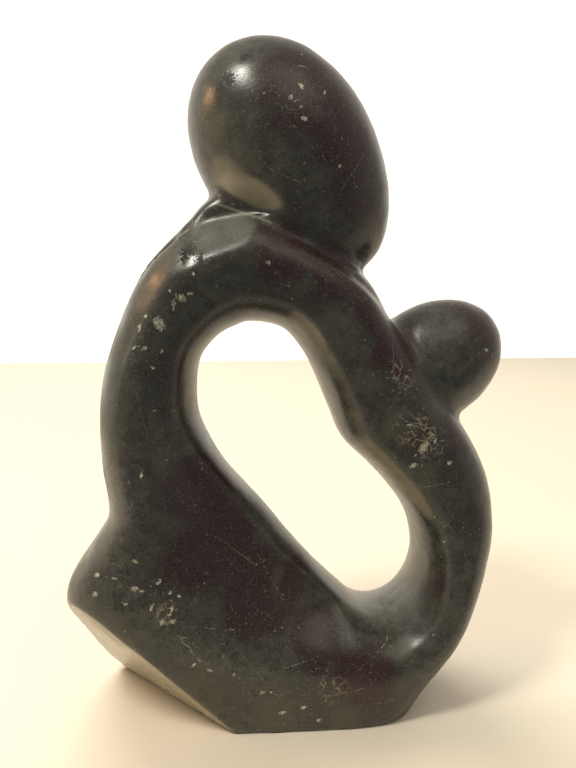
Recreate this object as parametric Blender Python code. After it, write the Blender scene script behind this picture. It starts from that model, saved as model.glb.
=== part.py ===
"""Abstract mother and child, carved from one block of dark soapstone.

A thick body closes into a ring round one slanted hole: back, hip, base, side and arm.
The mother's egg head sits on the shoulder and the child's smaller egg on the outside
of the arm. Metres, +Z up, the front towards -Y, the origin at the middle of the base.
"""

import math

import bmesh
import bpy
import numpy as np
from mathutils import Matrix, Vector

# Driving sizes of the body, in metres
BODY_HEIGHT = 0.160  # from the floor to the top of the shoulder
BODY_DEPTH = 0.049  # front to back at the fullest ridge

# The mother's head, an egg that leans back over the shoulder
HEAD_LENGTH = 0.0765
HEAD_WIDTH = 0.0525
HEAD_DEPTH = 0.0500
HEAD_LEAN = math.radians(54)  # how far the egg's long axis rises from level
HEAD_TAPER = 0.12  # how much fuller the upper end is than the middle
HEAD_SEAT = (0.096, 0.962)  # where it meets the shoulder, as shares of the body's height
HEAD_SINK = 0.0150  # how deep the lower end is let into the shoulder

# The child's head, an even egg on the outside of the arm
CHILD_LENGTH = 0.0500
CHILD_WIDTH = 0.0380
CHILD_DEPTH = 0.0360
CHILD_LEAN = math.radians(32)
CHILD_TAPER = 0.0
CHILD_SEAT = (0.261, 0.680)
CHILD_SINK = 0.0200  # how deep the inner end is let into the arm

# The flat facet sawn across the lower left corner
FACET_NORMAL = Vector((-1, -1, -1)).normalized()
FACET_START = -0.250  # where it meets the floor in the middle plane, as a share of the height

# The lens-shaped groove cut along the outside of the shoulder
GROOVE_LENGTH = 0.0190
GROOVE_WIDTH = 0.0072
GROOVE_DEPTH = 0.0024
GROOVE_PLACE = (-0.234, 0.927)  # its middle, as shares of the body's height
GROOVE_SLOPE = math.radians(48)  # its rise from level
GROOVE_FORWARD = 0.0080  # how far it lies in front of the middle plane
GROOVE_LENS = 3.0  # half the cutting lens's thickness, in groove depths

# The section's round beside the hole
RIM_ROUND = 2.2  # 2 is an ellipse, more is squarer
RIM_FALL = 0.35  # share of the fall from ridge to rim that runs straight
BACK_RELIEF = 0.55  # how much of the front's fall to the rim the plainer back has

# Finish
CREASE_BLEND = 14  # smoothing passes over the creases between the forms
BLEND_STRENGTH = 0.5
GRAIN = 0.0013  # grid that the fused forms are smoothed on
FACES = 10400  # triangles left after the smoothing, before the flat cuts
SECTIONS = 120
RING_POINTS = 26  # points across the front of each section
EGG_RINGS = 40
GROOVE_RINGS = 12
SHARP_EDGE = math.radians(30)
STONE_COLOUR = (0.030, 0.028, 0.024, 1)
STONE_ROUGHNESS = 0.32

# Stations round the ring, clockwise from the nape as the front is seen. Positions are
# shares of the body's height, x from the middle of the base, z from the floor:
# name, outer x, outer z, inner x, inner z, ridge place, ridge depth, rim depth, rim width,
# squareness. The ridge place is a share of the way from the outer edge to the hole. Depths
# are shares of half the body's depth, and the rim width is a share of the section's width.
# Squareness shapes the round from the outer edge to the ridge, where 2 is an ellipse.
STATIONS = (
    ("nape", -0.130, 1.015, -0.076, 0.781, 0.54, 0.92, 0.84, 0.38, 2.2),
    ("shoulder", 0.020, 0.955, -0.017, 0.772, 0.52, 0.93, 0.84, 0.38, 2.2),
    ("collar", 0.139, 0.878, 0.018, 0.739, 0.47, 0.93, 0.83, 0.38, 2.2),
    ("upper arm", 0.190, 0.797, 0.050, 0.682, 0.43, 0.93, 0.82, 0.38, 2.4),
    ("arm above the child", 0.246, 0.718, 0.080, 0.611, 0.42, 0.92, 0.82, 0.38, 2.4),
    ("arm behind the child", 0.297, 0.647, 0.108, 0.546, 0.42, 0.91, 0.82, 0.38, 2.3),
    ("arm below the child", 0.349, 0.579, 0.159, 0.496, 0.43, 0.90, 0.83, 0.38, 2.2),
    ("forearm", 0.395, 0.492, 0.201, 0.450, 0.44, 0.90, 0.84, 0.38, 2.2),
    ("side", 0.415, 0.400, 0.238, 0.400, 0.46, 0.90, 0.84, 0.38, 2.2),
    ("lower side", 0.406, 0.311, 0.264, 0.338, 0.48, 0.91, 0.85, 0.38, 2.2),
    ("thigh", 0.383, 0.221, 0.269, 0.268, 0.51, 0.92, 0.86, 0.38, 2.2),
    ("knee", 0.346, 0.128, 0.247, 0.209, 0.53, 0.94, 0.88, 0.38, 2.2),
    ("shin", 0.281, 0.034, 0.206, 0.180, 0.60, 0.97, 0.92, 0.34, 2.2),
    ("base right", 0.132, -0.190, 0.155, 0.188, 0.78, 0.98, 0.95, 0.21, 2.4),
    ("base", 0.040, -0.220, 0.115, 0.224, 0.74, 0.97, 0.90, 0.19, 2.5),
    ("base left", -0.160, -0.220, 0.065, 0.276, 0.71, 0.93, 0.72, 0.15, 2.8),
    ("lower corner", -0.400, -0.100, 0.008, 0.343, 0.62, 0.90, 0.57, 0.13, 3.6),
    ("hip", -0.413, 0.113, -0.032, 0.392, 0.51, 0.88, 0.50, 0.11, 3.8),
    ("hip tip", -0.443, 0.258, -0.066, 0.434, 0.48, 0.88, 0.50, 0.12, 2.8),
    ("above the hip", -0.388, 0.354, -0.096, 0.467, 0.42, 0.89, 0.50, 0.12, 2.3),
    ("waist", -0.354, 0.414, -0.125, 0.501, 0.37, 0.90, 0.52, 0.13, 2.2),
    ("small of the back", -0.364, 0.501, -0.153, 0.548, 0.44, 0.91, 0.62, 0.22, 2.2),
    ("back", -0.366, 0.586, -0.176, 0.604, 0.48, 0.92, 0.74, 0.30, 2.2),
    ("upper back", -0.356, 0.679, -0.179, 0.656, 0.50, 0.92, 0.82, 0.38, 2.2),
    ("shoulder blade", -0.323, 0.779, -0.171, 0.713, 0.47, 0.92, 0.84, 0.40, 2.2),
    ("shoulder slope", -0.271, 0.886, -0.136, 0.756, 0.46, 0.92, 0.84, 0.40, 2.2),
    ("neck notch", -0.194, 0.965, -0.101, 0.773, 0.49, 0.92, 0.84, 0.38, 2.2),
)


def clear_scene():
    for obj in list(bpy.data.objects):
        bpy.data.objects.remove(obj, do_unlink=True)


def mesh_object(name, mesh):
    """An object that takes over a bmesh."""
    data = bpy.data.meshes.new(name)
    mesh.to_mesh(data)
    mesh.free()
    obj = bpy.data.objects.new(name, data)
    bpy.context.scene.collection.objects.link(obj)
    return obj


def bake(obj):
    """Put what the modifiers make into the object's own mesh."""
    evaluated = obj.evaluated_get(bpy.context.evaluated_depsgraph_get())
    made = bpy.data.meshes.new_from_object(evaluated)
    obj.modifiers.clear()
    obj.data = made


def combine(target, tool, operation):
    """Apply one exact Boolean and take the tool away."""
    join = target.modifiers.new(operation.lower(), "BOOLEAN")
    join.operation = operation
    join.object = tool
    join.solver = "EXACT"
    bake(target)
    bpy.data.objects.remove(tool, do_unlink=True)


def around_the_ring():
    """The station values on one closed smooth curve, one row for each section."""
    values = [np.array(station[1:]) for station in STATIONS]
    count = len(values)
    rows = []
    for section in range(SECTIONS):
        place = section * count / SECTIONS
        first = int(place)
        t = place - first
        before, start, end, after = (values[(first + k) % count] for k in (-1, 0, 1, 2))
        slope = end - before
        bend = 2 * before - 5 * start + 4 * end - after
        twist = 3 * start - before - 3 * end + after
        rows.append(start + 0.5 * (slope * t + bend * t**2 + twist * t**3))
    return rows


def depth_across(share, ridge, top, rim, rim_width, squareness):
    """Half depth at a share of the way from the outer edge (0) to the hole (1)."""
    rim_start = 1 - rim_width
    if share < ridge:
        climb = 1 - share / ridge
        return top * (1 - climb**squareness) ** (1 / squareness)
    if share < rim_start:
        t = (share - ridge) / (rim_start - ridge)
        eased = t * t * (3 - 2 * t)
        return top + (rim - top) * (RIM_FALL * t + (1 - RIM_FALL) * eased)
    t = (share - rim_start) / rim_width
    return rim * math.sqrt(max(0.0, 1 - t**RIM_ROUND))


def section_loop(row):
    """One closed loop of points round the ring's section: over the front, then the back."""
    outer = Vector((row[0], 0, row[1])) * BODY_HEIGHT
    inner = Vector((row[2], 0, row[3])) * BODY_HEIGHT
    ridge, top, rim, rim_width, squareness = row[4:]
    back_rim = top + (rim - top) * BACK_RELIEF
    front = []
    back = []
    for k in range(RING_POINTS + 1):
        share = 0.5 * (1 - math.cos(math.pi * k / RING_POINTS))
        place = outer.lerp(inner, share)
        forward = depth_across(share, ridge, top, rim, rim_width, squareness)
        rearward = depth_across(share, ridge, top, back_rim, rim_width, squareness)
        front.append(place + Vector((0, -forward * BODY_DEPTH / 2, 0)))
        back.append(place + Vector((0, rearward * BODY_DEPTH / 2, 0)))
    return front + back[-2:0:-1]


def ring_body():
    """The closed ring, its section loops joined by quads."""
    mesh = bmesh.new()
    loops = []
    for row in around_the_ring():
        loops.append([mesh.verts.new(point) for point in section_loop(row)])
    for k, loop in enumerate(loops):
        after = loops[(k + 1) % len(loops)]
        for j in range(len(loop)):
            n = (j + 1) % len(loop)
            mesh.faces.new((loop[j], loop[n], after[n], after[j]))
    bmesh.ops.recalc_face_normals(mesh, faces=mesh.faces)
    return mesh_object("ring_body", mesh)


def egg(name, size, lean, taper, seat, sink):
    """An egg that leans by lean from level, its lower or inner end sunk in the body."""
    length, width, depth = size
    mesh = bmesh.new()
    segments = 3 * EGG_RINGS // 2
    bmesh.ops.create_uvsphere(mesh, u_segments=segments, v_segments=EGG_RINGS, radius=1)
    for vert in mesh.verts:
        x, y, along = vert.co
        swell = 1 + taper * along
        vert.co = Vector((x * swell * width / 2, y * swell * depth / 2, along * length / 2))
    turn = Matrix.Rotation(math.radians(90) - lean, 4, "Y")
    axis = Vector((math.cos(lean), 0, math.sin(lean)))
    centre = Vector((seat[0], 0, seat[1])) * BODY_HEIGHT + axis * (length / 2 - sink)
    bmesh.ops.transform(mesh, matrix=Matrix.Translation(centre) @ turn, verts=mesh.verts)
    return mesh_object(name, mesh)


def soften(obj):
    """Fuse the forms on one fine grid and ease the creases between them."""
    remesh = obj.modifiers.new("fuse", "REMESH")
    remesh.mode = "VOXEL"
    remesh.voxel_size = GRAIN
    smooth = obj.modifiers.new("ease", "SMOOTH")
    smooth.factor = BLEND_STRENGTH
    smooth.iterations = CREASE_BLEND
    bake(obj)
    thin = obj.modifiers.new("thin", "DECIMATE")
    thin.ratio = min(1.0, FACES / (2 * len(obj.data.polygons)))
    bake(obj)


def saw(obj, point, normal):
    """Take away all that lies beyond a plane, leaving a flat face."""
    size = 4 * BODY_HEIGHT
    mesh = bmesh.new()
    bmesh.ops.create_cube(mesh, size=size)
    turn = Vector((0, 0, 1)).rotation_difference(normal).to_matrix().to_4x4()
    place = Matrix.Translation(point + normal * size / 2)
    bmesh.ops.transform(mesh, matrix=place @ turn, verts=mesh.verts)
    combine(obj, mesh_object("saw", mesh), "DIFFERENCE")


def cut_groove(obj):
    """Scoop the groove out of the shoulder's outer edge with a slim lens."""
    reach = GROOVE_LENS * GROOVE_DEPTH
    lift = reach - GROOVE_DEPTH
    spread = 1 / math.sqrt(1 - (lift / reach) ** 2)  # from the groove's mouth to the whole lens
    mesh = bmesh.new()
    bmesh.ops.create_uvsphere(mesh, u_segments=2 * GROOVE_RINGS, v_segments=GROOVE_RINGS, radius=1)
    size = Matrix.Diagonal((spread * GROOVE_LENGTH / 2, spread * GROOVE_WIDTH / 2, reach, 1))
    turn = Matrix.Rotation(-GROOVE_SLOPE, 4, "Y")
    outward = turn @ Vector((0, 0, 1))
    place = Vector((GROOVE_PLACE[0], 0, GROOVE_PLACE[1])) * BODY_HEIGHT
    place.y = -GROOVE_FORWARD
    centre = Matrix.Translation(place + outward * lift)
    bmesh.ops.transform(mesh, matrix=centre @ turn @ size, verts=mesh.verts)
    combine(obj, mesh_object("groove", mesh), "DIFFERENCE")


def stand_on_origin(obj):
    """Move the carving so that the middle of its base box is the origin."""
    corners = np.array([vert.co for vert in obj.data.vertices])
    low = corners.min(axis=0)
    high = corners.max(axis=0)
    middle = (low + high) / 2
    obj.data.transform(Matrix.Translation((-middle[0], -middle[1], -low[2])))


def soapstone():
    """Dark green-grey soapstone, rubbed smooth and waxed."""
    material = bpy.data.materials.new("soapstone")
    material.use_nodes = True
    shader = material.node_tree.nodes["Principled BSDF"]
    shader.inputs["Base Color"].default_value = STONE_COLOUR
    shader.inputs["Roughness"].default_value = STONE_ROUGHNESS
    shader.inputs["Metallic"].default_value = 0.0
    return material


def main():
    clear_scene()
    figure = ring_body()
    head_size = (HEAD_LENGTH, HEAD_WIDTH, HEAD_DEPTH)
    head = egg("head", head_size, math.pi - HEAD_LEAN, HEAD_TAPER, HEAD_SEAT, HEAD_SINK)
    combine(figure, head, "UNION")
    child_size = (CHILD_LENGTH, CHILD_WIDTH, CHILD_DEPTH)
    child = egg("child", child_size, CHILD_LEAN, CHILD_TAPER, CHILD_SEAT, CHILD_SINK)
    combine(figure, child, "UNION")
    soften(figure)
    saw(figure, Vector((FACET_START * BODY_HEIGHT, 0, 0)), FACET_NORMAL)
    saw(figure, Vector((0, 0, 0)), Vector((0, 0, -1)))
    cut_groove(figure)
    stand_on_origin(figure)
    figure.name = "mother_and_child"
    figure.data.name = "mother_and_child"
    figure.data.materials.clear()
    figure.data.materials.append(soapstone())
    figure.data.shade_smooth()
    figure.data.set_sharp_from_angle(angle=SHARP_EDGE)


main()
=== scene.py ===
"""The carved soapstone mother and child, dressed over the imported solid.

Metres and +Z up, the front towards -Y. Places of marks are in millimetres, as x and z seen
from the front.
"""

import math

import bmesh
import bpy
import numpy as np
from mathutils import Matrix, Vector, noise
from mathutils.bvhtree import BVHTree


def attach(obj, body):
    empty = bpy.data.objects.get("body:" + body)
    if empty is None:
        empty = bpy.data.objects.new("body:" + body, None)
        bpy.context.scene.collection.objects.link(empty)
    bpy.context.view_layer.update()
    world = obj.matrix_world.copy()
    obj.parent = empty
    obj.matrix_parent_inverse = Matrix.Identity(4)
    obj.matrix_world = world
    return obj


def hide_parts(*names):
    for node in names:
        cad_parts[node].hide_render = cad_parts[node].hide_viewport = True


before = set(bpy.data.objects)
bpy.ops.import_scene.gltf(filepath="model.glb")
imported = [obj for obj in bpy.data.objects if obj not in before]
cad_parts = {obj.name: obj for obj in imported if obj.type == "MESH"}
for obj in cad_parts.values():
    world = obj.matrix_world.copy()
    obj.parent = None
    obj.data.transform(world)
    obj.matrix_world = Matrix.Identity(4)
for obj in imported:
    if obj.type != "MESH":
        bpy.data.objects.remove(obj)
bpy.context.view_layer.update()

MM = 0.001
GRID = 0.93 * MM  # spacing of the sculpted surface
EASING = 11  # smoothing passes that take the facets out of the solid
HIGHEST_WITHIN = 4 * MM  # how far round a place a flat looks for the stone's highest point
HOLE_REACH = 26 * MM  # the hole's wall is all nearer its long axis than this
RIM_POWER = 0.52  # near 0.5, an elliptical rounding of the hole's edge
RIM_SOFTNESS = 0.8 * MM


def deselect():
    bpy.ops.object.select_all(action="DESELECT")


def apply(obj, kind, **settings):
    """Put one modifier on an object and apply it."""
    deselect()
    bpy.context.view_layer.objects.active = obj
    obj.select_set(True)
    modifier = obj.modifiers.new(kind.lower(), kind)
    for key, value in settings.items():
        setattr(modifier, key, value)
    bpy.ops.object.modifier_apply(modifier=modifier.name)


# The block that the sculpting starts from


def rough_carving():
    """The solid's own form on one fine even grid, without its facets."""
    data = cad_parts["mother_and_child"].data.copy()
    carving = bpy.data.objects.new("carving", data)
    bpy.context.scene.collection.objects.link(carving)
    joined = bmesh.new()
    joined.from_mesh(data)
    bmesh.ops.remove_doubles(joined, verts=joined.verts, dist=0.01 * MM)
    joined.to_mesh(data)
    joined.free()
    data.materials.clear()
    apply(carving, "REMESH", mode="VOXEL", voxel_size=GRID)
    apply(carving, "SMOOTH", factor=0.5, iterations=EASING)
    return carving


def points_of(obj):
    flat = np.zeros(3 * len(obj.data.vertices))
    obj.data.vertices.foreach_get("co", flat)
    return flat.reshape(-1, 3)


def normals_of(obj):
    flat = np.zeros(3 * len(obj.data.vertices), np.float32)
    obj.data.vertex_normals.foreach_get("vector", flat)
    return flat.reshape(-1, 3).astype(float)


def put_points(obj, points):
    obj.data.vertices.foreach_set("co", points.ravel())
    obj.data.update()


def neighbour_mean(obj, values):
    """The mean of each point's neighbours, for numbers or vectors held per point."""
    edges = np.zeros(2 * len(obj.data.edges), np.int32)
    obj.data.edges.foreach_get("vertices", edges)
    a, b = edges.reshape(-1, 2).T
    total = np.zeros_like(values)
    count = np.zeros(len(values))
    np.add.at(total, a, values[b])
    np.add.at(total, b, values[a])
    np.add.at(count, a, 1)
    np.add.at(count, b, 1)
    return (total.T / count).T


def fade(distance, reach):
    """1 at no distance, 0 at reach and beyond, level at both ends."""
    t = np.clip(1 - distance / reach, 0, 1)
    return t * t * (3 - 2 * t)


def nearest_of(points, place):
    """Each point's distance from one place in millimetres."""
    return np.linalg.norm(points - np.array(place) * MM, axis=1)


def softly_past(excess, soft):
    """How far past a limit, rounded off within soft on either side of it."""
    rounded = np.clip(excess + soft, 0, None) ** 2 / (4 * soft)
    return np.where(excess > soft, excess, rounded)


def along_segment(points, start, end):
    """Each point's share of the way from start to end, and its distance from that segment."""
    along = end - start
    share = np.clip((points - start) @ along / (along @ along), 0, 1)
    return share, np.linalg.norm(points - start - share[:, None] * along, axis=1)


# Chisel and rasp work, each stroke taking stone away


def sharpen_creases(obj, passes, strength, deepest):
    """Cut deeper where the surface turns inwards, as at the two necks."""
    points = points_of(obj)
    normals = normals_of(obj)
    hollow = np.einsum("ij,ij->i", neighbour_mean(obj, points) - points, normals)
    for _ in range(passes):
        hollow = neighbour_mean(obj, hollow)
    cut = np.clip(hollow * strength, 0, deepest)
    put_points(obj, points - normals * cut[:, None])


def shave(obj, path, facings, reach, depth=0.0, softness=0.25, through=None):
    """Plane flats along a path, its depth below the stone's highest points or through a place."""
    points = points_of(obj)
    path = np.array([points[nearest_of(points, place).argmin()] for place in path])
    facings = np.array([np.array(facing) / np.linalg.norm(facing) for facing in facings])
    if through is None:
        levels = []
        for place, facing in zip(path, facings):
            local = points[np.linalg.norm(points - place, axis=1) < HIGHEST_WITHIN]
            levels.append((local @ facing).max())
        levels = np.array(levels) - np.broadcast_to(depth, len(path)) * MM
    else:
        levels = facings @ np.array(through) * MM
    nearest = np.full(len(points), 1.0)
    beyond = np.full(len(points), -1.0)
    facing_there = np.zeros_like(points)
    for k in range(len(path) - 1):
        share, gap = along_segment(points, path[k], path[k + 1])
        closer = gap < nearest
        facing = facings[k] + share[:, None] * (facings[k + 1] - facings[k])
        facing /= np.linalg.norm(facing, axis=1)[:, None]
        level = levels[k] + share * (levels[k + 1] - levels[k])
        over = np.einsum("ij,ij->i", points, facing) - level
        nearest[closer] = gap[closer]
        beyond[closer] = over[closer]
        facing_there[closer] = facing[closer]
    cut = softly_past(beyond, softness * MM)
    cut *= np.clip(fade(nearest, reach * MM) * 3, 0, 1)
    put_points(obj, points - facing_there * cut[:, None])


def rub(obj, chosen, passes):
    """Smooth the chosen points towards their neighbours."""
    points = points_of(obj)
    for _ in range(passes):
        points[chosen] += 0.5 * (neighbour_mean(obj, points) - points)[chosen]
    put_points(obj, points)


def rub_round(obj, place, reach, passes):
    """Rub everything within reach of a place, in millimetres."""
    rub(obj, nearest_of(points_of(obj), place) < reach * MM, passes)


def dish_the_rim(obj, axis, narrow, depth):
    """Ease both faces down to the hole's edge, over a narrow band around it."""
    points = points_of(obj)
    normals = normals_of(obj)
    start, end = np.array(axis, float) * MM
    flat = points[:, (0, 2)]
    share, reach = along_segment(flat, start, end)
    inwards = start + share[:, None] * (end - start) - flat
    facing_in = np.einsum("ij,ij->i", normals[:, (0, 2)], inwards) > 0
    halfway = np.abs(points[:, 1]) < 0.5 * MM
    edge = flat[facing_in & (reach < HOLE_REACH) & halfway]
    gap = []
    for part in np.array_split(flat, 60):
        gap.append(np.linalg.norm(part[:, None] - edge[None], axis=2).min(axis=1))
    gap = np.concatenate(gap)
    for _ in range(4):
        gap = neighbour_mean(obj, gap)
    roundness = 1 - np.clip(1 - gap / (narrow * MM), 0, 1) ** 2
    limit = depth * MM * roundness**RIM_POWER
    thick = np.abs(points[:, 1])
    cut = softly_past(thick - limit, RIM_SOFTNESS)
    cut *= np.clip((narrow + 2 - gap / MM) / 3, 0, 1)
    points[:, 1] = np.sign(points[:, 1]) * np.clip(thick - cut, 0, None)
    put_points(obj, points)
    rub(obj, gap < 5 * MM, 3)


def scoop(obj, centre, inner, outer, floor, crest):
    """Hollow the front to a bowl, its half depth rising from floor to crest with the radius."""
    points = points_of(obj)
    radius = np.linalg.norm(points[:, (0, 2)] / MM - centre, axis=1)
    limit = crest - (crest - floor) * fade(radius - inner, outer - inner)
    cut = softly_past(-points[:, 1] / MM - limit, 1.6)
    cut *= np.clip((outer + 6 - radius) / 8, 0, 1)
    points[:, 1] += cut * MM
    put_points(obj, points)


def gouge(obj, path, width, depth, power):
    """Draw a rounded or a sharp tool along a path of places."""
    points = points_of(obj)
    normals = normals_of(obj)
    path = np.array(path, float) * MM
    nearest = np.full(len(points), 1.0)
    for start, end in zip(path[:-1], path[1:]):
        nearest = np.minimum(nearest, along_segment(points, start, end)[1])
    cut = np.clip(1 - nearest / (width * MM), 0, 1) ** power * depth * MM
    put_points(obj, points - normals * cut[:, None])


def peck(obj, places, spread, count, size, depth, seed):
    """Scatter small point-chisel dents round each place."""
    rng = np.random.default_rng(seed)
    for place in places:
        for _ in range(count):
            spot = np.array(place) + rng.normal(0, spread, 3)
            radius = size * rng.uniform(0.6, 1.3)
            gouge(obj, (spot, spot + 0.01), radius, depth * rng.uniform(0.4, 1.0), 1.2)


def rasp(obj, size, depth, seed):
    """The slight unevenness of hand rubbing, only ever inwards."""
    points = points_of(obj)
    normals = normals_of(obj)
    shift = Vector((seed * 7.3, seed * 3.1, seed * 5.7))
    cut = np.array([noise.noise(Vector(p) / (size * MM) + shift) for p in points])
    cut = (0.5 + 0.5 * np.clip(cut * 1.6, -1, 1)) * depth * MM
    put_points(obj, points - normals * cut[:, None])


carving = rough_carving()
sharpen_creases(carving, passes=3, strength=8.0, deepest=1.4 * MM)
dish_the_rim(carving, axis=((-15, 106), (24, 50)), narrow=11, depth=24)
scoop(carving, centre=(10, 48), inner=10, outer=30, floor=11, crest=25)

# Flats meet at the shoulder: one faces up, one runs down the back, one takes off the ridge between
SHOULDER_TOP = ((-22, -17, 150.5), (-12, -18, 151.5))
TOP_FACING = (-0.26, -0.70, 0.66)
RIDGE_PLACE = (-18.9, -22.4, 144.6)
shave(carving, SHOULDER_TOP, (TOP_FACING,) * 2, reach=12, softness=0.4, through=RIDGE_PLACE)
BACK_FLAT = (
    (-28.0, -18, 147.5), (-33.5, -16, 142), (-40.5, -14, 132), (-48, -12, 119), (-54.5, -13, 101),
)
BACK_FACINGS = (
    (-0.52, -0.72, 0.46), (-0.58, -0.70, 0.42), (-0.64, -0.70, 0.32),
    (-0.70, -0.69, 0.18), (-0.78, -0.62, 0.06),
)
BACK_DEPTHS = (0.4, 0.4, 0.4, 0.3, -0.4)
shave(carving, BACK_FLAT, BACK_FACINGS, reach=12, depth=BACK_DEPTHS, softness=0.9)
SHOULDER_RIDGE = ((-24.4, -22.2, 141.8), (-18.9, -22.2, 144.6), (-12.1, -21.7, 147.2))
RIDGE_FACING = (-0.29, -0.82, 0.49)
shave(carving, SHOULDER_RIDGE, (RIDGE_FACING,) * 3, reach=8, depth=0.60, softness=0.3)
rub_round(carving, (-17, -17, 151), reach=15, passes=6)
rub_round(carving, (18, -16, 36), reach=22, passes=25)
ARM_BEVEL = ((9, -20, 140), (20, -19, 132), (30, -14, 124))
BEVEL_FACINGS = ((0.45, -0.45, 0.77), (0.55, -0.45, 0.70), (0.60, -0.45, 0.66))
shave(carving, ARM_BEVEL, BEVEL_FACINGS, reach=9, depth=0.35)

# The sawn groove with its crisp front lip, the head's undercut, and the chisel's bites
GROOVE = ((-42.8, -7.0, 141.0), (-37.2, -10.4, 147.6), (-30.8, -11.4, 153.6))
gouge(carving, GROOVE, width=3.0, depth=1.7, power=0.55)
NECK_LINE = ((-22.5, -11.5, 159.6), (-19.5, -14.0, 158.6), (-13.6, -16.4, 156.4), (-5.6, -17.4, 153.8))
gouge(carving, NECK_LINE, width=1.0, depth=0.25, power=1.0)
HEAD_BITES = ((-17.6, -18.9, 190.2), (-12.6, -18.3, 196.4))
BACK_DENTS = ((-38, -19, 125), (-36, -20, 128), (-32, -21, 132), (38, -21, 89))
HIP_DENTS = ((-38, -22, 41), (-46, -21, 49), (-34, -22, 36))
peck(carving, HEAD_BITES, spread=1.0, count=7, size=1.0, depth=0.30, seed=4)
peck(carving, BACK_DENTS, spread=1.6, count=5, size=0.9, depth=0.22, seed=5)
peck(carving, HIP_DENTS, spread=2.4, count=6, size=0.9, depth=0.20, seed=6)

rasp(carving, size=14, depth=0.30, seed=1)
rasp(carving, size=5.5, depth=0.12, seed=2)

# The mark layers, drawn on the surface


def on_front(obj, marks):
    """Places on the front surface straight behind marks given as x and z in millimetres."""
    tree = BVHTree.FromObject(obj, bpy.context.evaluated_depsgraph_get())
    found = []
    for x, z in marks:
        hit = tree.ray_cast(Vector((x * MM, -0.1, z * MM)), Vector((0, 1, 0)))[0]
        if hit is None:
            raise ValueError(f"no stone at x {x}, z {z}")
        found.append(hit)
    return np.array(found)


def store(obj, name, kind, values):
    attribute = obj.data.attributes.new(name, kind, "POINT")
    key = "vector" if kind == "FLOAT_VECTOR" else "value"
    attribute.data.foreach_set(key, np.asarray(values, np.float32).ravel())


# Chips by x, z and radius: each layer keeps its chips at least 4 mm apart
CHIPS = (
    (
        (-37.0, 125.3, 1.5), (-42.6, 124.2, 0.7), (-33.0, 130.5, 0.8), (-28.6, 133.7, 0.6),
        (-44.1, 118.8, 0.5), (-39.2, 113.2, 0.5), (-39.4, 100.9, 0.4), (-7.2, 142.1, 0.6),
        (38.8, 88.8, 1.4), (46.7, 83.8, 0.6), (59.7, 116.7, 0.6), (36.2, 82.8, 0.8),
        (-43.3, 82.7, 0.6), (-45.9, 57.1, 0.6), (-57.3, 52.4, 0.7), (-52.1, 52.0, 0.5),
        (-46.5, 48.9, 0.8), (-39.3, 50.6, 0.6), (-33.7, 45.5, 0.5), (-41.6, 42.8, 0.6),
        (-35.6, 38.1, 0.6), (-18.0, 20.5, 0.5), (-9.6, 14.2, 0.5), (-3.6, 7.3, 0.7),
        (3.1, 8.8, 0.6), (1.9, 187.8, 0.7), (2.5, 179.3, 0.6), (8.3, 187.0, 0.4),
        (12.4, 167.8, 0.4), (-30.0, 24.0, 0.5), (47.0, 58.0, 0.4), (44.0, 66.0, 0.4),
    ),
    (
        (-40.9, 127.5, 0.6), (-30.8, 132.4, 0.9), (-41.3, 118.8, 0.6), (-36.7, 117.8, 0.4),
        (34.2, 95.6, 0.6), (42.0, 90.5, 0.5), (-58.0, 46.7, 0.7), (-44.3, 47.9, 0.5),
        (-36.3, 47.0, 0.5), (-35.8, 42.1, 0.7), (-38.8, 38.0, 0.8), (-25.1, 22.2, 0.6),
        (7.7, 4.2, 0.6), (-1.1, 184.6, 0.6), (1.5, 182.4, 0.4), (-6.9, 14.1, 0.4),
        (-34.0, 134.5, 0.4), (-27.5, 139.0, 0.5), (36.5, 86.0, 0.4), (-49.0, 44.0, 0.5),
    ),
)

# Scratches by their two ends, x and z, and half their width: two layers, so that they can cross
SCRATCHES = (
    (
        (26.6, 109.9, 31.9, 109.8, 0.13), (28.5, 105.6, 33.2, 105.2, 0.12),
        (30.4, 98.8, 36.0, 94.5, 0.13), (-34.3, 33.7, -27.4, 24.8, 0.20),
        (-32.8, 36.3, -15.4, 33.0, 0.10), (-3.1, 40.5, -1.0, 40.4, 0.22),
        (-3.9, 136.5, -1.0, 135.6, 0.18), (1.1, 193.6, 3.6, 193.9, 0.15),
        (-8.0, 20.0, 8.0, 24.0, 0.07), (-24.0, 62.0, -10.0, 50.0, 0.06),
        (46.0, 60.0, 49.5, 70.0, 0.07), (10.0, 12.0, 22.0, 14.5, 0.08),
        (-50.0, 62.0, -46.0, 75.0, 0.07), (12.0, 160.0, 20.0, 172.0, 0.06),
    ),
    (
        (28.9, 118.9, 28.5, 111.9, 0.10), (31.3, 116.0, 30.4, 104.5, 0.12),
        (33.5, 96.5, 41.0, 92.6, 0.13), (38.0, 94.5, 43.4, 88.8, 0.11),
        (-31.5, 31.5, -28.5, 29.5, 0.18), (-9.6, 14.2, -6.9, 14.1, 0.16),
        (-16.0, 27.0, -4.0, 12.0, 0.06), (-12.0, 58.0, -2.0, 38.0, 0.06),
        (40.0, 76.0, 48.0, 78.0, 0.08), (20.0, 20.0, 31.0, 26.0, 0.07),
        (-44.0, 108.0, -41.0, 92.0, 0.06), (-10.0, 168.0, 2.0, 163.0, 0.06),
    ),
)

# Painted highlights along the crisp lips, where the shoulder meets the head and in front of the sawn groove
LIP_HIGHLIGHTS = (
    (-21.5, 159.2, -14.6, 156.7, 0.32), (-14.6, 156.7, -5.8, 153.2, 0.30),
    (-41.0, 141.2, -35.2, 146.7, 0.40), (-35.2, 146.7, -29.1, 152.1, 0.40),
)


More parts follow.
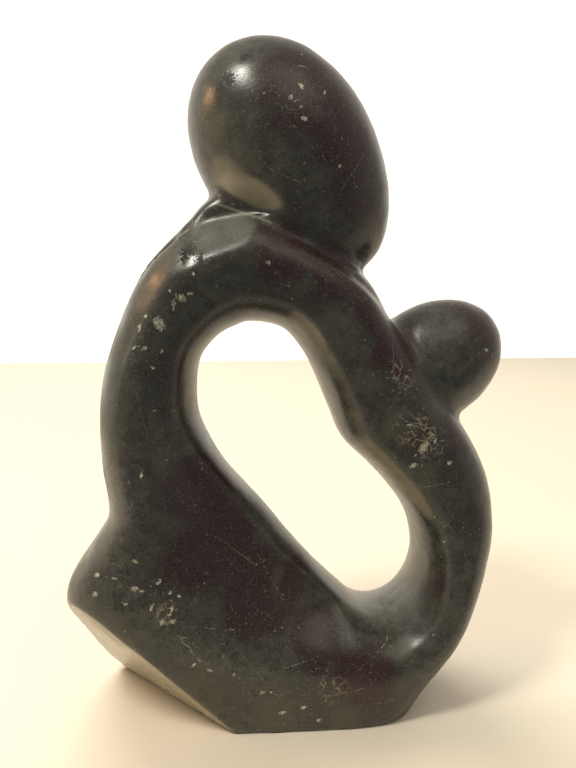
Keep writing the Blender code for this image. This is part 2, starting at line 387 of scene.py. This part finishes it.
def draw_dots(obj, name, dots, seed):
    """Hold each point's offset from its nearest dot, in radii of a fleck stretched one way."""
    rng = np.random.default_rng(seed)
    points = points_of(obj)
    centres = on_front(obj, [dot[:2] for dot in dots])
    sizes = np.array([dot[2] for dot in dots]) * MM
    turns = rng.uniform(0, math.pi, len(dots))
    stretch = rng.uniform(1.0, 1.7, len(dots))
    gaps = np.linalg.norm(points[:, None, :] - centres[None, :, :], axis=2)
    nearest = gaps.argmin(axis=1)
    offset = (points - centres[nearest]) / sizes[nearest][:, None]
    cos, sin, pull = np.cos(turns[nearest]), np.sin(turns[nearest]), stretch[nearest]
    along = (offset[:, 0] * cos + offset[:, 2] * sin) / pull
    across = (offset[:, 2] * cos - offset[:, 0] * sin) * pull
    store(obj, name + "_offset", "FLOAT_VECTOR", np.stack([along, offset[:, 1], across], axis=1))
    store(obj, name + "_near", "FLOAT", gaps.min(axis=1) / MM)


def draw_scratches(obj, name, lines):
    """Hold each point's place across, along and near its nearest scratch."""
    points = points_of(obj)
    starts = on_front(obj, [line[:2] for line in lines])
    ends = on_front(obj, [line[2:4] for line in lines])
    best = np.full(len(points), 1.0)
    held = np.zeros((len(points), 3))
    for start, end, line in zip(starts, ends, lines):
        along = end - start
        length = np.linalg.norm(along)
        along /= length
        side = np.cross(along, (0, -1, 0))
        side /= np.linalg.norm(side)
        run = (points - start) @ along
        across = (points - start) @ side
        nearest = start + np.clip(run, 0, length)[:, None] * along
        gap = np.linalg.norm(points - nearest, axis=1)
        closer = gap < best
        best[closer] = gap[closer]
        held[closer, 0] = across[closer] / (line[4] * MM)
        held[closer, 1] = run[closer] / length
    held[:, 2] = best / MM
    store(obj, name, "FLOAT_VECTOR", held)


def draw_blobs(obj, name, blobs):
    """Hold how deep each point lies in the nearest of some soft patches, from 0 to 1."""
    points = points_of(obj)
    amount = np.zeros(len(points))
    for x, y, z, reach in blobs:
        amount = np.maximum(amount, fade(nearest_of(points, (x, y, z)), reach * MM))
    store(obj, name, "FLOAT", amount)


for layer, chips in zip("ab", CHIPS):
    draw_dots(carving, "chip_" + layer, chips, ord(layer))
for layer, lines in zip("ab", SCRATCHES):
    draw_scratches(carving, "scratch_" + layer, lines)
# The lip layer carries the painted highlights along the two lips
draw_scratches(carving, "lip_highlight", LIP_HIGHLIGHTS)

# Soft patches of colour and wear, and of painted shade and sheen, by x, y, z and reach
PURPLE = (
    (14, -18, 186, 30), (22, -14, 170, 24), (2, -20, 192, 18), (14, -18, 141, 16), (24, -18, 130, 15),
    (31, -18, 118, 14), (-2, -21, 146, 14), (60, -6, 122, 18), (-8, -18, 46, 24), (-22, -18, 58, 22),
    (38, -12, 106, 13), (50, -14, 92, 12), (52, -10, 70, 14), (40, -20, 44, 16), (-26, -18, 76, 18),
    (8, -18, 30, 14), (22, -20, 18, 14), (0, 20, 185, 22), (30, 18, 90, 26), (-30, 18, 60, 24),
)
WORN = (
    (-48, -20, 50, 14), (-38, -21, 42, 12), (-30, -21, 30, 11), (-37, -21, 126, 11), (-42, -18, 118, 10),
    (34, -21, 100, 13), (40, -21, 88, 11), (0, -22, 8, 14), (-12, -22, 18, 12), (2, -22, 186, 11),
    (48, -14, 70, 12), (14, -21, 146, 9), (56, -10, 112, 8), (-45, -5, 45, 16), (20, 18, 30, 18),
)
CRACKED = ((36, -21, 94, 10), (41, -20, 90, 9), (31, -21, 110, 7), (-37, -21, 40, 6), (12, -20, 14, 9))
# Patches painted near-black as shade, in the bites beside the head's highlight and in the dent beside the
# shoulder ridge
CHISELLED_PAINTED_DARK = (
    (-27.0, -19.5, 148.5, 3.6), (-29.8, -19.5, 145.6, 4.2), (-26.0, -21.5, 143.0, 3.0),
    (-17.4, -18.9, 190.4, 3.6), (-19.2, -18.6, 187.6, 2.6), (-12.6, -18.3, 196.4, 2.6),
    (-30.5, -21.0, 143.8, 3.4),
)
# Olive patches: partly the stone's olive tone, partly a painted sheen on the shoulder top, the back flat
# and the left side
OLIVE_AND_SHEEN = (
    (-16, -17, 152, 13), (-24, -17, 150, 12), (-33, -16, 142, 12), (-41, -14, 132, 12), (-4, -18, 150, 9),
    (-49, -12, 118, 12), (-55, -10, 98, 13), (-58, -9, 78, 14), (-58, -14, 60, 15), (-62, -10, 48, 13),
    (-56, -20, 34, 20), (-30, -22, 14, 18), (-6, -23, 6, 15), (16, -22, 5, 12), (-22, -16, 178, 12),
    (12, -18, 126, 9), (-14, -20, 60, 8), (34, -20, 24, 9), (22, -18, 110, 10), (31, -19, 95, 10),
    (40, -19, 80, 9), (44, -18, 66, 8), (-16, -15, 169, 14), (-6, -17, 163, 10), (22, -16, 36, 14),
)
draw_blobs(carving, "chiselled_painted_dark", CHISELLED_PAINTED_DARK)
draw_blobs(carving, "olive_and_sheen", OLIVE_AND_SHEEN)
draw_blobs(carving, "purple", PURPLE)
draw_blobs(carving, "worn", WORN)
draw_blobs(carving, "cracked", CRACKED)

# The facet at the lower left faces left, down and to the front by equal shares
SAWN_FACING = -np.ones(3) / math.sqrt(3)
sawn_and_sheen = normals_of(carving) @ SAWN_FACING
# The facet is painted pale: partly its own sawn stone, partly a painted reflection of the bright table
store(carving, "sawn_and_sheen", "FLOAT", np.clip((sawn_and_sheen - 0.95) / 0.04, 0, 1))


def colour(hex_value):
    """Turn an sRGB hex value to linear."""
    shares = [int(hex_value[i : i + 2], 16) / 255 for i in (0, 2, 4)]
    return tuple(c / 12.92 if c <= 0.04045 else ((c + 0.055) / 1.055) ** 2.4 for c in shares) + (1,)


def add(tree, kind, inputs=None, **settings):
    """Add a node with its settings, its values and its links."""
    made = tree.nodes.new(kind)
    for key, value in settings.items():
        setattr(made, key, value)
    for socket, value in (inputs or {}).items():
        if isinstance(value, bpy.types.NodeSocket):
            tree.links.new(value, made.inputs[socket])
        else:
            made.inputs[socket].default_value = value
    return made


def waxed_soapstone():
    """Dark steatite, cut with a saw, rasped and rubbed smooth, then waxed.

    The eye sees a near-black green-grey ground with purple-brown clouds, pale talc specks and
    cream bruises where the wax is broken, under a soft but clear gloss.
    """
    material = bpy.data.materials.new("waxed_soapstone")
    material.use_nodes = True
    tree = material.node_tree
    tree.nodes.clear()

    def math_of(operation, a, b=0.0, c=0.0, clamp=False):
        made = add(tree, "ShaderNodeMath", {0: a, 1: b, 2: c}, operation=operation, use_clamp=clamp)
        return made.outputs[0]

    def step(value, low, high):
        """0 below low, 1 above high and smooth between them."""
        inputs = {"Value": value, "From Min": low, "From Max": high}
        return add(tree, "ShaderNodeMapRange", inputs, interpolation_type="SMOOTHSTEP").outputs[0]

    def held(name, output="Fac"):
        return add(tree, "ShaderNodeAttribute", attribute_name=name).outputs[output]

    def blend(amount, ground, over):
        inputs = {"Factor": amount, 6: ground, 7: over}
        return add(tree, "ShaderNodeMix", inputs, data_type="RGBA").outputs[2]

    place = add(tree, "ShaderNodeTexCoord").outputs["Object"]
    mm = add(tree, "ShaderNodeVectorMath", {0: place, "Scale": 1000.0}, operation="SCALE").outputs[0]

    def grain(size, detail=2.0, roughness=0.5, distortion=0.0, place=mm):
        inputs = {
            "Vector": place,
            "Scale": 1.0 / size,
            "Detail": detail,
            "Roughness": roughness,
            "Distortion": distortion,
        }
        return add(tree, "ShaderNodeTexNoise", inputs).outputs["Fac"]

    def cells(size, feature="F1", place=mm):
        return add(tree, "ShaderNodeTexVoronoi", {"Vector": place, "Scale": 1.0 / size}, feature=feature)

    clouds = grain(20.0, 4.0, 0.6)
    mottle = grain(3.2, 3.0, 0.6)
    fine = grain(0.55, 2.0, 0.7)
    crumbs = grain(0.75, 3.0, 0.65, 0.4)

    # The ground: green-grey talc under dark magnetite, with purple-brown clouds and olive patches, the
    # olive partly a painted sheen on flats that face up and to the left
    purple = math_of("MULTIPLY_ADD", held("purple"), 1.25, math_of("MULTIPLY_ADD", clouds, 2.0, -1.0))
    purple = step(math_of("MULTIPLY_ADD", mottle, 0.9, math_of("ADD", purple, -0.45)), 0.18, 0.60)
    olive_and_sheen = math_of("ADD", held("olive_and_sheen"), math_of("MULTIPLY_ADD", mottle, 0.9, -0.55))
    olive_and_sheen = step(olive_and_sheen, 0.15, 0.85)
    ground = blend(step(mottle, 0.35, 0.68), colour("37362f"), colour("4b4b42"))
    ground = blend(step(clouds, 0.42, 0.62), ground, colour("37362f"))
    ground = blend(math_of("MULTIPLY", olive_and_sheen, 0.65), ground, colour("4e4d3d"))
    ground = blend(math_of("MULTIPLY", purple, 0.85), ground, colour("31191b"))
    # Painted reflection: the lower-left facet is paler, partly sawn stone and partly the bright table's
    # reflection painted in
    ground = blend(held("sawn_and_sheen"), ground, colour("a0967c"))

    # Talc dust and specks, thicker where the stone is worn
    worn = math_of("MAXIMUM", held("worn"), step(clouds, 0.56, 0.78))
    dust_level = math_of("MULTIPLY_ADD", worn, -0.06, 0.54)
    dust = step(math_of("SUBTRACT", fine, dust_level), 0.0, 0.14)
    ground = blend(math_of("MULTIPLY", dust, 0.32), ground, colour("75736a"))

    def specks(size, share, radius):
        """Ragged specks of one radius, in a share of cells of one size, all in millimetres."""
        made = cells(size)
        wobble = math_of("MULTIPLY_ADD", fine, 1.2 * radius, -0.6 * radius)
        edge = math_of("ADD", math_of("MULTIPLY", made.outputs["Distance"], size), wobble)
        chosen = add(tree, "ShaderNodeSeparateColor", {0: made.outputs["Color"]}).outputs[0]
        limit = math_of("MULTIPLY_ADD", worn, -share, 1.0 - share)
        picked = step(math_of("SUBTRACT", chosen, limit), 0.0, 0.02)
        return math_of("MULTIPLY", step(edge, radius, radius * 0.5), picked)

    small = specks(1.0, 0.42, 0.22)
    large = specks(2.6, 0.20, 0.38)
    faint = step(grain(7.0, 2.0), 0.35, 0.65)
    small = math_of("MULTIPLY", small, math_of("MULTIPLY_ADD", faint, 0.50, 0.22))
    large = math_of("MULTIPLY", large, math_of("MULTIPLY_ADD", faint, 0.55, 0.25))
    ground = blend(small, ground, colour("9a9786"))
    ground = blend(large, ground, colour("aba792"))

    # Placed chips, their rims broken by the crumbly grain
    ragged = math_of("MULTIPLY_ADD", crumbs, 3.2, -1.6)
    chipped = None
    for layer in "ab":
        offset = held("chip_" + layer + "_offset", "Vector")
        radius = add(tree, "ShaderNodeVectorMath", {0: offset}, operation="LENGTH").outputs["Value"]
        inside = step(math_of("ADD", radius, ragged), 1.3, 0.8)
        inside = math_of("MULTIPLY", inside, step(held("chip_" + layer + "_near"), 2.4, 2.0))
        chipped = inside if chipped is None else math_of("MAXIMUM", chipped, inside)
    core = step(fine, 0.42, 0.58)
    chip_colour = blend(core, colour("7d7864"), colour("d2ccb0"))

    # Placed scratches, wandering and broken up along their length
    scratched = None
    breaks = step(grain(0.9, 2.0, 0.6), 0.46, 0.56)
    for layer in "ab":
        parts = add(tree, "ShaderNodeSeparateXYZ", {0: held("scratch_" + layer, "Vector")}).outputs
        bend = math_of("MULTIPLY_ADD", grain(2.6, 3.0), 14.0, -7.0)
        across = math_of("ABSOLUTE", math_of("ADD", parts[0], bend))
        line = step(across, 1.4, 0.5)
        line = math_of("MULTIPLY", line, step(parts[2], 2.2, 1.6))
        within = math_of("MULTIPLY", step(parts[1], -0.02, 0.04), step(parts[1], 1.02, 0.96))
        line = math_of("MULTIPLY", line, within)
        scratched = line if scratched is None else math_of("MAXIMUM", scratched, line)
    scratched = math_of("MULTIPLY", scratched, breaks)

    # Fine short hairlines in three directions across the front
    hairs = None
    for turn in (0.5, 1.6, 2.5):
        settings = {0: mm, "Rotation": (0.2, turn, 0.1), "Scale": (0.22, 1.0, 1.0)}
        turned = add(tree, "ShaderNodeMapping", settings).outputs[0]
        streak = step(grain(0.75, 1.0, 0.4, 0.3, turned), 0.755, 0.80)
        hairs = streak if hairs is None else math_of("MAXIMUM", hairs, streak)
    hairs = math_of("MULTIPLY", hairs, math_of("MULTIPLY_ADD", worn, 0.5, 0.2))

    # The crack network, its lines wandering and stained with rust
    warp = add(tree, "ShaderNodeTexNoise", {"Vector": mm, "Scale": 0.5, "Detail": 2.0}).outputs["Color"]
    warp = add(tree, "ShaderNodeVectorMath", {0: warp, 1: (2.4, 2.4, 2.4), 2: mm}, operation="MULTIPLY_ADD")
    edge = cells(2.4, "DISTANCE_TO_EDGE", warp.outputs[0]).outputs["Distance"]
    cracked = math_of("MULTIPLY", step(held("cracked"), 0.12, 0.6), step(mottle, 0.44, 0.56))
    web = math_of("MULTIPLY", step(edge, 0.060, 0.020), cracked)
    stain = math_of("MULTIPLY", step(edge, 0.30, 0.02), cracked)
    ground = blend(math_of("MULTIPLY", stain, 0.35), ground, colour("6a4a30"))

    marks = math_of("MAXIMUM", scratched, math_of("MAXIMUM", hairs, web))
    ground = blend(math_of("MULTIPLY", marks, 0.65), ground, colour("b0aa92"))
    ground = blend(chipped, ground, chip_colour)

    # Painted highlights on the two lips, drawn like scratches but straight and unbroken
    parts = add(tree, "ShaderNodeSeparateXYZ", {0: held("lip_highlight", "Vector")}).outputs
    lip_highlight = step(math_of("ABSOLUTE", parts[0]), 1.6, 0.5)
    within = math_of("MULTIPLY", step(parts[1], -0.03, 0.06), step(parts[1], 1.03, 0.96))
    lip_highlight = math_of("MULTIPLY", lip_highlight, within)
    lip_highlight = math_of("MULTIPLY", lip_highlight, step(parts[2], 2.2, 1.6))
    ground = blend(math_of("MULTIPLY", lip_highlight, 0.38), ground, colour("a39d84"))

    # Painted shade: the chisel bites are painted near-black dark green, as the shade in their dents, and
    # kept rough
    bitten_painted_dark = math_of("ADD", held("chiselled_painted_dark"), math_of("MULTIPLY_ADD", crumbs, 3.4, -2.25))
    bitten_painted_dark = math_of("MULTIPLY", step(bitten_painted_dark, 0.0, 0.2), step(held("chiselled_painted_dark"), 0.02, 0.12))
    ground = blend(math_of("MULTIPLY", bitten_painted_dark, 0.85), ground, colour("0d100b"))

    # The wax is broken by every mark, thins in clouds and is duller on the olive patches
    bare = math_of("MAXIMUM", math_of("MAXIMUM", chipped, bitten_painted_dark), math_of("MULTIPLY", marks, 0.7))
    bare = math_of("MAXIMUM", bare, math_of("MULTIPLY", math_of("MAXIMUM", small, large), 0.15))
    polish = math_of("MULTIPLY_ADD", mottle, 0.14, math_of("MULTIPLY_ADD", clouds, 0.10, 0.12))
    polish = math_of("MULTIPLY_ADD", olive_and_sheen, 0.18, polish)
    rough = math_of("MULTIPLY_ADD", bare, 0.35, math_of("MULTIPLY_ADD", fine, 0.10, polish))

    # Relief in millimetres: marks are sunk, and the ground has a faint rubbed tooth
    tooth = math_of("MULTIPLY_ADD", fine, 0.020, math_of("MULTIPLY", crumbs, 0.025))
    relief = math_of("MULTIPLY_ADD", bare, -0.14, tooth)
    bump = add(tree, "ShaderNodeBump", {"Height": relief, "Distance": MM, "Strength": 1.0})

    shader = add(
        tree,
        "ShaderNodeBsdfPrincipled",
        {
            "Base Color": ground,
            "Roughness": rough,
            "Metallic": 0.0,
            "IOR": 1.55,
            "Specular IOR Level": 0.5,
            "Normal": bump.outputs[0],
        },
    )
    add(tree, "ShaderNodeOutputMaterial", {"Surface": shader.outputs[0]})
    return material


carving.data.materials.append(waxed_soapstone())
carving.data.shade_smooth()
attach(carving, "root")
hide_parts("mother_and_child")

# The studio: a pale table, a bright wall of light behind and a dim room in front
TABLE_WIDTH = 3.2
TABLE_FRONT = -0.08  # so near that the carving's low front faces mirror the dim room, not the table
TABLE_BACK = 1.1
LAMP_AIM = (0, 0, 0.15)  # about the middle of the carving


def painted_table():
    """Matt off-white paint on a smooth table top, which reads as plain warm white."""
    material = bpy.data.materials.new("painted_table")
    material.use_nodes = True
    shader = material.node_tree.nodes["Principled BSDF"]
    shader.inputs["Base Color"].default_value = colour("f1e5d2")
    shader.inputs["Roughness"].default_value = 0.6
    return material


def lay_table():
    deselect()
    bpy.ops.mesh.primitive_plane_add(size=1, location=(0, 0, 0))
    table = bpy.context.object
    table.name = "table"
    for vert in table.data.vertices:
        vert.co.x *= TABLE_WIDTH
        vert.co.y = TABLE_BACK if vert.co.y > 0 else TABLE_FRONT
    table.data.materials.append(painted_table())


def softbox(name, place, size, power, tint):
    """A square light that faces the carving from its place."""
    light = bpy.data.lights.new(name, "AREA")
    light.size = size
    light.energy = power
    light.color = tint
    lamp = bpy.data.objects.new(name, light)
    lamp.location = place
    away = Vector(place) - Vector(LAMP_AIM)
    lamp.rotation_euler = away.to_track_quat("Z", "Y").to_euler()
    bpy.context.scene.collection.objects.link(lamp)
    return lamp


def room_light():
    """Bright and creamy behind the carving, dim in front, with paler side walls and ceiling."""
    world = bpy.data.worlds.new("studio")
    bpy.context.scene.world = world
    world.use_nodes = True
    tree = world.node_tree
    tree.nodes.clear()
    way = add(tree, "ShaderNodeTexCoord").outputs["Generated"]
    parts = add(tree, "ShaderNodeSeparateXYZ", {0: way}).outputs
    dim_front = (0.185, 0.188, 0.182, 1)
    left_wall = (0, -0.35, -1.00, (0.46, 0.41, 0.33, 1))
    behind = (1, -0.15, 0.75, (1.40, 1.30, 1.12, 1))
    right_wall = (0, 0.55, 1.10, (0.50, 0.48, 0.42, 1))
    ceiling = (2, 0.22, 0.90, (0.45, 0.42, 0.37, 1))
    glow = dim_front
    for axis, low, high, tint in (left_wall, behind, right_wall, ceiling):
        share = {"Value": parts[axis], "From Min": low, "From Max": high}
        share = add(tree, "ShaderNodeMapRange", share, interpolation_type="SMOOTHSTEP").outputs[0]
        glow = add(tree, "ShaderNodeMix", {"Factor": share, 6: glow, 7: tint}, data_type="RGBA").outputs[2]
    background = add(tree, "ShaderNodeBackground", {0: glow, 1: 1.0})
    add(tree, "ShaderNodeOutputWorld", {0: background.outputs[0]})


lay_table()
room_light()
softbox("window", (-0.38, -0.26, 0.79), 0.15, 3.6, (1.0, 0.97, 0.86))
softbox("warm_lamp", (-0.595, 0.05, 0.48), 0.10, 0.55, (1.0, 0.56, 0.26))
softbox("sky", (-0.40, 0.90, 1.40), 1.20, 20.0, (1.0, 0.97, 0.90)).visible_glossy = False
softbox("room_lamp", (0.35, -0.75, 1.25), 0.80, 1.6, (1.0, 0.92, 0.80))

# The photo's view: the lens is as long as 618 of the picture's 768 rows
SENSOR = 36
camera = bpy.data.objects.new("camera", bpy.data.cameras.new("camera"))
bpy.context.scene.collection.objects.link(camera)
camera.data.sensor_width = SENSOR
camera.data.lens = 618 / 768 * SENSOR
camera.location = (-0.01976, -0.1942, 0.1326)
azimuth, pitch = math.radians(-6), math.radians(8)
back = Vector((math.sin(azimuth) * math.cos(pitch), -math.cos(azimuth) * math.cos(pitch), math.sin(pitch)))
camera.rotation_euler = back.to_track_quat("Z", "Y").to_euler()
bpy.context.scene.camera = camera
bpy.context.scene.view_settings.view_transform = "Standard"
